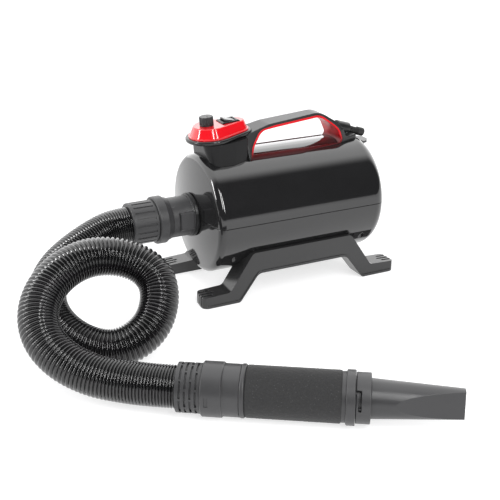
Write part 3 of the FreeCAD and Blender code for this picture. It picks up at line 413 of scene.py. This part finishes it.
def makePlastic(name, ownLook):
    look = {**plainPlastic, **ownLook}
    # the lighter edge colour: wear and a painted highlight along the edges
    wornAndHighlight = tuple(min(1.0, c * look["wornAndHighlightGain"] + look["wornAndHighlightLift"]) for c in look["colour"])
    material, tree, shader = newMaterial(name)
    skin = placeGroup(
        tree, skinGroup, Colour=look["colour"], Drift=look["drift"], Drift_Scale=look["driftScale"],
        Gloss=look["rough"], Gloss_Spread=look["spread"], Grain_Scale=look["grainScale"],
    )
    edge = placeGroup(
        tree, edgeGroup, Worn_Colour=look.get("wornAndHighlight", wornAndHighlight), Radius=look["edge"], Wear=look["wearAndHighlight"],
    )
    colour = skin.outputs["Colour"]
    # below the given heights the colour turns to a painted shade colour
    if "paintedShadeColour" in look:
        low, high = look["paintedShadeLevel"]
        level = placeGroup(tree, paintedShadeGroup, Low_Colour=look["paintedShadeColour"], Low=low, High=high)
        tree.links.new(colour, level.inputs["Colour"])
        colour = level.outputs["Colour"]
    tree.links.new(colour, edge.inputs["Colour"])
    tree.links.new(edge.outputs["Colour"], shader.inputs["Base Color"])
    tree.links.new(skin.outputs["Roughness"], shader.inputs["Roughness"])
    addBump(tree, shader, skin.outputs["Grain"], look["grain"], look["grainDepth"], edge.outputs["Normal"])
    shader.inputs["Specular IOR Level"].default_value = look["specular"]
    shader.inputs["Coat Weight"].default_value = look["coat"]
    shader.inputs["Coat Roughness"].default_value = look["coatRough"]
    shader.inputs["Metallic"].default_value = 0.0
    return material


# the same for turned, wound and cast metals
plainMetal = {"metal": 1.0, "spread": 0.1, "edge": 0.0004, "wearAndHighlight": 0.4, "bump": 0.2, "bumpDepth": 0.0002}


def makeTurned(name, ownLook):
    look = {**plainMetal, **ownLook}
    material, tree, shader = newMaterial(name)
    lines = placeGroup(tree, turnedGroup, Colour=look["colour"], Scale=look["scale"], Depth=look["depth"])
    skin = placeGroup(tree, skinGroup, Gloss=look["rough"], Gloss_Spread=look["spread"])
    edge = placeGroup(tree, edgeGroup, Worn_Colour=look["colour"], Radius=look["edge"], Wear=look["wearAndHighlight"])
    tree.links.new(lines.outputs["Colour"], edge.inputs["Colour"])
    tree.links.new(edge.outputs["Colour"], shader.inputs["Base Color"])
    tree.links.new(skin.outputs["Roughness"], shader.inputs["Roughness"])
    addBump(tree, shader, lines.outputs["Height"], look["bump"], look["bumpDepth"], edge.outputs["Normal"])
    shader.inputs["Metallic"].default_value = look["metal"]
    return material


# and for open-cell foams
plainFoam = {"rough": 0.9, "specular": 0.25, "sheen": 0.15, "sheenRough": 0.5, "bumpDepth": 0.0006}


def makeFoam(name, ownLook):
    look = {**plainFoam, **ownLook}
    material, tree, shader = newMaterial(name)
    cells = placeGroup(
        tree, foamGroup, Wall_Colour=look["wall"], Pit_Colour=look["pit"],
        Cell_Scale=look["cellScale"], Speck=look["speck"],
    )
    tree.links.new(cells.outputs["Colour"], shader.inputs["Base Color"])
    addBump(tree, shader, cells.outputs["Height"], look["bump"], look["bumpDepth"])
    shader.inputs["Roughness"].default_value = look["rough"]
    shader.inputs["Specular IOR Level"].default_value = look["specular"]
    shader.inputs["Sheen Weight"].default_value = look["sheen"]
    shader.inputs["Sheen Roughness"].default_value = look["sheenRough"]
    return material


# each finish's own look: colours are linear, scales are per metre
plasticLooks = {
    "glossBlack": {
        "colour": (0.011, 0.011, 0.0115), "rough": 0.1, "spread": 0.02, "grain": 0.01,
        "edge": 0.001, "coat": 0.5, "wearAndHighlight": 0.1, "drift": 0.2,
    },
    "legBlack": {
        "colour": (0.022, 0.022, 0.0225), "rough": 0.24, "spread": 0.04, "grain": 0.03,
        "edge": 0.0008, "wearAndHighlight": 0.2,
    },
    "podBlack": {
        "colour": (0.008, 0.008, 0.0085), "rough": 0.2, "spread": 0.04, "grain": 0.02,
        "edge": 0.001, "wearAndHighlight": 0.15,
    },
    "podSide": {
        "colour": (0.01, 0.01, 0.0105), "rough": 0.16, "spread": 0.03, "grain": 0.01,
        "edge": 0.001, "specular": 0.14, "wearAndHighlight": 0.12,
    },
    "handleBlack": {
        "colour": (0.012, 0.012, 0.0125), "rough": 0.34, "spread": 0.05, "grain": 0.05,
        "edge": 0.0032, "wearAndHighlight": 0.1,
    },
    "glossRed": {
        "colour": (0.6, 0.006, 0.012), "rough": 0.12, "spread": 0.03, "grain": 0.01,
        # the red's edges are painted lighter, as wear and a painted highlight
        "edge": 0.001, "coat": 0.5, "wearAndHighlight": 0.12, "wornAndHighlight": (0.8, 0.06, 0.06),
    },
    "trimRed": {
        "colour": (0.55, 0.008, 0.014), "rough": 0.3, "spread": 0.04, "grain": 0.02,
        # the trim's edges are painted lighter, as wear and a painted highlight
        "edge": 0.0008, "specular": 0.22, "wearAndHighlight": 0.1, "wornAndHighlight": (0.7, 0.05, 0.05),
        # below these heights the trim's red darkens to a painted shade, where it lies in shadow against
        # the drum
        "paintedShadeColour": (0.03, 0.004, 0.005), "paintedShadeLevel": (0.198, 0.216),
    },
    "rockerBlack": {"colour": (0.02, 0.02, 0.021), "rough": 0.2, "spread": 0.04, "edge": 0.0005},
    "knobBlack": {
        "colour": (0.014, 0.014, 0.015), "rough": 0.36, "spread": 0.05, "edge": 0.0004,
        "grain": 0.12,
    },
    "portBlack": {
        "colour": (0.012, 0.012, 0.0125), "rough": 0.3, "spread": 0.05, "edge": 0.0006,
        "grain": 0.08,
    },
    "greyPlastic": {
        "colour": (0.03, 0.03, 0.0315), "rough": 0.42, "spread": 0.06, "edge": 0.0005,
        "grain": 0.12, "grainScale": 1100.0,
    },
    "wandPlastic": {
        "colour": (0.034, 0.034, 0.0355), "rough": 0.38, "spread": 0.06, "edge": 0.0005,
        "grain": 0.1,
    },
    "nozzlePlastic": {
        "colour": (0.03, 0.03, 0.0315), "rough": 0.34, "spread": 0.05, "edge": 0.0008,
        "grain": 0.1,
    },
    "hoseBlack": {
        "colour": (0.005, 0.005, 0.0055), "rough": 0.13, "spread": 0.03, "edge": 0.0,
        "wearAndHighlight": 0.0, "grain": 0.0, "coat": 0.4,
    },
    "rubber": {
        "colour": (0.012, 0.012, 0.012), "rough": 0.6, "spread": 0.08, "edge": 0.0004,
        "grain": 0.25,
    },
    "ductPlastic": {
        "colour": (0.32, 0.31, 0.29), "rough": 0.45, "spread": 0.06, "edge": 0.0008,
        "grain": 0.1,
    },
    "carbonBlack": {
        "colour": (0.03, 0.03, 0.032), "rough": 0.6, "spread": 0.1, "edge": 0.0003,
        "grain": 0.3,
    },
    "boardGreen": {
        "colour": (0.02, 0.14, 0.05), "rough": 0.4, "spread": 0.08, "edge": 0.0003,
        "drift": 0.35, "driftScale": 160.0,
    },
}
turnedLooks = {
    "brightSteel": {"colour": (0.55, 0.55, 0.56), "rough": 0.28, "scale": 900.0, "depth": 0.2},
    "darkSteel": {
        "colour": (0.16, 0.16, 0.17), "rough": 0.45, "scale": 1500.0, "depth": 0.5,
        "metal": 0.8,
    },
    "windingCopper": {"colour": (0.62, 0.24, 0.1), "rough": 0.32, "scale": 2200.0, "depth": 0.6},
    "castAluminium": {"colour": (0.6, 0.6, 0.61), "rough": 0.42, "scale": 500.0, "depth": 0.15},
}
foamLooks = {
    "gripFoam": {
        "wall": (0.027, 0.027, 0.0275), "pit": (0.012, 0.012, 0.0125), "cellScale": 900.0,
        "speck": 0.9, "bump": 0.35,
    },
    "filterFoam": {
        "wall": (0.045, 0.045, 0.046), "pit": (0.004, 0.004, 0.004), "cellScale": 650.0,
        "speck": 0.3, "bump": 1.0,
    },
}
finishes = {}
for makeFinish, looks in ((makePlastic, plasticLooks), (makeTurned, turnedLooks), (makeFoam, foamLooks)):
    for finishName, finishLook in looks.items():
        finishes[finishName] = makeFinish(finishName, finishLook)
print("stage: finishes made,", len(finishes))

# the finish of each CAD piece: first by slot, then the pieces that differ
slotFinish = {
    "gloss_black_shell": "glossBlack",
    "satin_black_plastic": "podBlack",
    "gloss_red_plastic": "glossRed",
    "rocker_plastic": "rockerBlack",
    "dark_grey_plastic": "greyPlastic",
    "hose_plastic": "hoseBlack",
    "foam": "gripFoam",
    "filter_foam": "filterFoam",
    "rubber": "rubber",
    "steel": "brightSteel",
    "copper": "windingCopper",
    "aluminium": "castAluminium",
    "duct_plastic": "ductPlastic",
    "carbon": "carbonBlack",
    "circuit_board": "boardGreen",
}
pieceFinish = {
    "control_pod": "podSide",
    "handle_shell": "handleBlack",
    "handle_trim": "trimRed",
    "outlet_port": "portBlack",
    "left_leg": "legBlack",
    "right_leg": "legBlack",
    "speed_knob": "knobBlack",
    "stator_core": "darkSteel",
    "armature": "darkSteel",
    "wand_collar": "wandPlastic",
    "wand_neck": "wandPlastic",
    "nozzle": "nozzlePlastic",
    "twist_ring": "wandPlastic",
    "bayonet_collar": "wandPlastic",
}


def paint(obj, material):
    obj.data.materials.clear()
    obj.data.materials.append(material)


for row in frame["record"]["subparts"]:
    nodeName = row["node"]
    paint(nodes[nodeName], finishes[pieceFinish.get(nodeName, slotFinish[row["material_slot"]])])
print("stage: CAD pieces painted")


# hose: a corrugated tube on one smooth line, from the coupling's cuff to the wand's cuff
hoseSetup = {
    "route": [   # metres
        (-0.165, 0.209, 0.116), (-0.188, 0.209, 0.116), (-0.220, 0.201, 0.108), (-0.255, 0.187, 0.097),
        (-0.285, 0.167, 0.086), (-0.306, 0.140, 0.072), (-0.314, 0.108, 0.057), (-0.308, 0.074, 0.043),
        (-0.290, 0.043, 0.032), (-0.263, 0.021, 0.0265), (-0.232, 0.014, 0.033), (-0.202, 0.021, 0.048),
        (-0.183, 0.040, 0.071), (-0.178, 0.063, 0.094), (-0.195, 0.083, 0.111), (-0.227, 0.097, 0.122),
        (-0.263, 0.099, 0.124), (-0.298, 0.089, 0.116), (-0.327, 0.070, 0.101), (-0.344, 0.043, 0.081),
        (-0.345, 0.012, 0.062), (-0.330, -0.019, 0.046), (-0.305, -0.047, 0.036), (-0.276, -0.071, 0.033),
        (-0.24632, -0.09521, 0.033), (-0.222, -0.111, 0.033),
    ],
    "radius": 0.0255,
    "ribDepth": 0.0034,
    "ribPower": 0.6,   # below 1 the crests are broad and the grooves narrow
    "ribPitch": (0.0035, 0.0052),   # pushed together at the cuffs, drawn out round the loop
    "pushedLength": 0.16,
    "ringsPerRib": 9,
    "sides": 72,
    "lineOrder": 3,
    "lineSteps": 24,
}


def smoothLine(setup):
    data = bpy.data.curves.new("hoseLine", "CURVE")
    data.dimensions = "3D"
    spline = data.splines.new("NURBS")
    spline.points.add(len(setup["route"]) - 1)
    for point, place in zip(spline.points, setup["route"]):
        point.co = (*place, 1.0)
    spline.order_u = setup["lineOrder"]
    spline.use_endpoint_u = True
    spline.resolution_u = setup["lineSteps"]
    data.resolution_u = setup["lineSteps"]
    holder = bpy.data.objects.new("hoseLine", data)
    bpy.context.scene.collection.objects.link(holder)
    bpy.context.view_layer.update()
    graph = bpy.context.evaluated_depsgraph_get()
    mesh = bpy.data.meshes.new_from_object(holder.evaluated_get(graph))
    line = [v.co.copy() for v in mesh.vertices]
    bpy.data.objects.remove(holder)
    bpy.data.meshes.remove(mesh)
    return line


# the length of the line up to each of its points
def measureLine(line):
    reach = [0.0]
    for a, b in zip(line, line[1:]):
        reach.append(reach[-1] + (b - a).length)
    return reach


# places and directions at even steps, with a frame that doesn't twist
def walkLine(line, reach, count):
    frames = []
    index = 0
    side = None
    for i in range(count):
        want = reach[-1] * i / (count - 1)
        while index < len(line) - 2 and reach[index + 1] < want:
            index += 1
        part = (want - reach[index]) / max(reach[index + 1] - reach[index], 1e-9)
        place = line[index].lerp(line[index + 1], part)
        if index in (0, len(line) - 2):
            forward = (line[index + 1] - line[index]).normalized()
        else:
            before = (line[index + 1] - line[index - 1]).normalized()
            after = (line[index + 2] - line[index]).normalized()
            forward = before.lerp(after, part).normalized()
        if side is None:
            side = forward.orthogonal().normalized()
        side = (side - forward * side.dot(forward)).normalized()
        frames.append((place, side, forward.cross(side), want))
    return frames


def makeHose(setup):
    line = smoothLine(setup)
    reach = measureLine(line)
    close, wide = setup["ribPitch"]
    count = round(reach[-1] / close) * setup["ringsPerRib"] + 1
    step = reach[-1] / (count - 1)
    phase = 0.0
    vertices = []
    for place, side, up, want in walkLine(line, reach, count):
        near = min(1.0, min(want, reach[-1] - want) / setup["pushedLength"])
        drawn = near ** 2 * (3 - 2 * near)
        phase += 2 * math.pi * step / (close + (wide - close) * drawn)
        for j in range(setup["sides"]):
            turn = turnAt(j, setup["sides"])
            rib = abs(math.cos((phase + turn) / 2))
            radius = setup["radius"] - setup["ribDepth"] * (1 - rib ** setup["ribPower"])
            vertices.append(place + side * (radius * math.cos(turn)) + up * (radius * math.sin(turn)))
    faces = ringFaces(count, setup["sides"])
    last = (count - 1) * setup["sides"]
    faces.append(tuple(reversed(range(setup["sides"]))))
    faces.append(tuple(range(last, last + setup["sides"])))
    hose = newObject("corrugatedHose", vertices, faces)
    paint(hose, finishes["hoseBlack"])
    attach(hose, "housing")
    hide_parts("hose")
    return hose, line, reach[-1]


hose, hoseLine, hoseLength = makeHose(hoseSetup)
print("stage: hose made, length", round(hoseLength, 4))


# foam sleeve on the grip; "from" and "to" are measured along the wand from its cuff
sleeveSetup = {
    "start": Vector(hoseSetup["route"][-1]),
    "heading": math.radians(-33.0),
    "from": 0.0801,
    "to": 0.1896,
    "radius": 0.0306,
    "bore": 0.0261,
    "endRound": 0.0022,
    "roundSteps": 6,
    "rings": 150,
    "sides": 240,
    "unevenness": 0.00022,
    "lumpScales": (420.0, 1100.0),
    "fineShare": 0.6,
    "boreMargin": 0.0001,   # the bore stays smooth
}


def makeSleeve(setup):
    along = Vector((math.cos(setup["heading"]), math.sin(setup["heading"]), 0.0))
    across = Vector((-along.y, along.x, 0.0))
    up = Vector((0.0, 0.0, 1.0))
    first, rounding = setup["from"], setup["endRound"]
    corner = []
    for i in range(setup["roundSteps"] + 1):
        turn = math.pi / 2 * i / setup["roundSteps"]
        drop = rounding * (1 - math.cos(turn))
        corner.append((first + rounding * (1 - math.sin(turn)), setup["radius"] - drop))
    profile = [(first, setup["bore"])] + sorted(corner)
    body = []
    for i in range(1, setup["rings"]):
        at = first + rounding + (setup["to"] - first - 2 * rounding) * i / setup["rings"]
        body.append((at, setup["radius"]))
    mirrored = [(first + setup["to"] - x, r) for x, r in reversed(profile)]
    rows = profile + body + mirrored
    vertices = []
    for x, r in rows:
        for j in range(setup["sides"]):
            turn = turnAt(j, setup["sides"])
            direction = across * math.cos(turn) + up * math.sin(turn)
            place = setup["start"] + along * x + direction * r
            if r > setup["bore"] + setup["boreMargin"]:
                place += direction * (setup["unevenness"] * lumpAt(place, setup))
            vertices.append(place)
    faces = ringFaces(len(rows), setup["sides"])
    last = (len(rows) - 1) * setup["sides"]
    for j in range(setup["sides"]):   # the bore joins the two ends
        k = (j + 1) % setup["sides"]
        faces.append((last + j, last + k, k, j))
    sleeve = newObject("foamSleeve", vertices, faces)
    paint(sleeve, finishes["gripFoam"])
    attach(sleeve, "wand_grip")
    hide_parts("foam_sleeve")


makeSleeve(sleeveSetup)
print("stage: foam sleeve made")

# filter foam behind the rear grille, a soft disc with an open-cell face
filterSetup = {
    "radius": 0.0726,
    "thickness": 0.0078,
    "round": 0.0016,
    "roundSteps": 6,
    "rings": 46,
    "sides": 160,
    "unevenness": 0.00028,
    "lumpScales": (380.0, 1200.0),
    "fineShare": 0.7,
}


def makeFilterFoam(setup):
    middle = middleOf("filter_foam")
    half = setup["thickness"] / 2
    inner = setup["radius"] - setup["round"]
    rows = [(-half, inner * i / setup["rings"]) for i in range(1, setup["rings"] + 1)]
    for i in range(1, setup["roundSteps"]):
        turn = math.pi * i / setup["roundSteps"]
        rows.append((-half * math.cos(turn), inner + setup["round"] * math.sin(turn)))
    rows += [(half, inner * i / setup["rings"]) for i in range(setup["rings"], 0, -1)]
    vertices = []
    for x, r in rows:
        for j in range(setup["sides"]):
            turn = turnAt(j, setup["sides"])
            place = middle + Vector((x, r * math.cos(turn), r * math.sin(turn)))
            place.x += math.copysign(setup["unevenness"], x) * lumpAt(place, setup)
            vertices.append(place)
    faces = ringFaces(len(rows), setup["sides"])
    last = (len(rows) - 1) * setup["sides"]
    for first, centre in ((0, -half), (last, half)):   # close the two faces of the disc
        tip = len(vertices)
        vertices.append(middle + Vector((centre, 0.0, 0.0)))
        for j in range(setup["sides"]):
            a, b = first + j, first + (j + 1) % setup["sides"]
            faces.append((b, a, tip) if first == 0 else (a, b, tip))
    foam = newObject("filterFoamDisc", vertices, faces)
    paint(foam, finishes["filterFoam"])
    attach(foam, "filter_cover")
    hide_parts("filter_foam")


makeFilterFoam(filterSetup)
print("stage: filter foam made")

# floor and studio light
floorSetup = {"size": 24.0, "glow": 0.68, "albedo": (0.5, 0.5, 0.505), "rough": 0.9, "specular": 0.1}
white = (1.0, 1.0, 1.0, 1.0)


def makeFloor(setup):
    half = setup["size"] / 2
    corners = [(-half, -half, 0), (half, -half, 0), (half, half, 0), (-half, half, 0)]
    floor = newObject("studioFloor", corners, [(0, 1, 2, 3)], smooth=False)
    material, _, shader = newMaterial("studioFloor")
    shader.inputs["Base Color"].default_value = (*setup["albedo"], 1.0)
    shader.inputs["Roughness"].default_value = setup["rough"]
    shader.inputs["Specular IOR Level"].default_value = setup["specular"]
    shader.inputs["Emission Color"].default_value = white
    shader.inputs["Emission Strength"].default_value = setup["glow"]
    paint(floor, material)


makeFloor(floorSetup)

# a white room: reflections see it dark in front and light above and behind
skySetup = {
    "bright": Vector((0.05, 0.85, 0.45)),   # the way to its lightest side
    "low": 0.1,
    "high": 0.43,
    "dark": 0.03,
    "light": 2.2,
    "fill": 0.9,
    "seen": 1.0,
}


def makeSky(setup):
    world = bpy.data.worlds.new("studioRoom")
    bpy.context.scene.world = world
    world.use_nodes = True
    tree = world.node_tree
    background = tree.nodes["Background"]
    place = addNode(tree, "ShaderNodeTexCoord").outputs["Generated"]
    dot = addNode(tree, "ShaderNodeVectorMath", operation="DOT_PRODUCT")
    tree.links.new(place, dot.inputs[0])
    dot.inputs[1].default_value = setup["bright"].normalized()
    ramp = addNode(tree, "ShaderNodeMapRange", interpolation_type="SMOOTHSTEP")
    ramp.inputs["From Min"].default_value = setup["low"]
    ramp.inputs["From Max"].default_value = setup["high"]
    ramp.inputs["To Min"].default_value = setup["dark"]
    ramp.inputs["To Max"].default_value = setup["light"]
    tree.links.new(dot.outputs["Value"], ramp.inputs["Value"])
    path = addNode(tree, "ShaderNodeLightPath")
    pick = addNode(tree, "ShaderNodeMix", data_type="FLOAT")
    tree.links.new(path.outputs["Is Glossy Ray"], pick.inputs["Factor"])
    pick.inputs[2].default_value = setup["fill"]
    tree.links.new(ramp.outputs["Result"], pick.inputs[3])
    show = addNode(tree, "ShaderNodeMix", data_type="FLOAT")
    tree.links.new(path.outputs["Is Camera Ray"], show.inputs["Factor"])
    tree.links.new(pick.outputs[0], show.inputs[2])
    show.inputs[3].default_value = setup["seen"]
    tree.links.new(show.outputs[0], background.inputs["Strength"])
    background.inputs["Color"].default_value = white


makeSky(skySetup)

# strip lights round the drum: direction from it, width and height, power
lightDistance = 2.4
lightSetup = {
    "stripLeft": {"from": (-0.17, -0.76, 0.63), "size": (0.2, 1.5), "power": 22.0},
    "stripRight": {"from": (0.13, -0.80, 0.52), "size": (0.12, 1.5), "power": 16.0},
    "sideStrip": {"from": (-0.93, 0.12, 0.34), "size": (0.24, 1.2), "power": 22.0},
}


def makeLights(setup, distance):
    target = drumMiddle + Vector((0.0, 0.0, drumAxis))
    for name, row in setup.items():
        data = bpy.data.lights.new(name, "AREA")
        data.shape = "RECTANGLE"
        data.size, data.size_y = row["size"]
        data.energy = row["power"]
        light = bpy.data.objects.new(name, data)
        bpy.context.scene.collection.objects.link(light)
        direction = Vector(row["from"]).normalized()
        light.location = target + direction * distance
        light.rotation_mode = "QUATERNION"
        light.rotation_quaternion = (-direction).to_track_quat("-Z", "Y")
        light.visible_camera = False


makeLights(lightSetup, lightDistance)
print("stage: studio made")
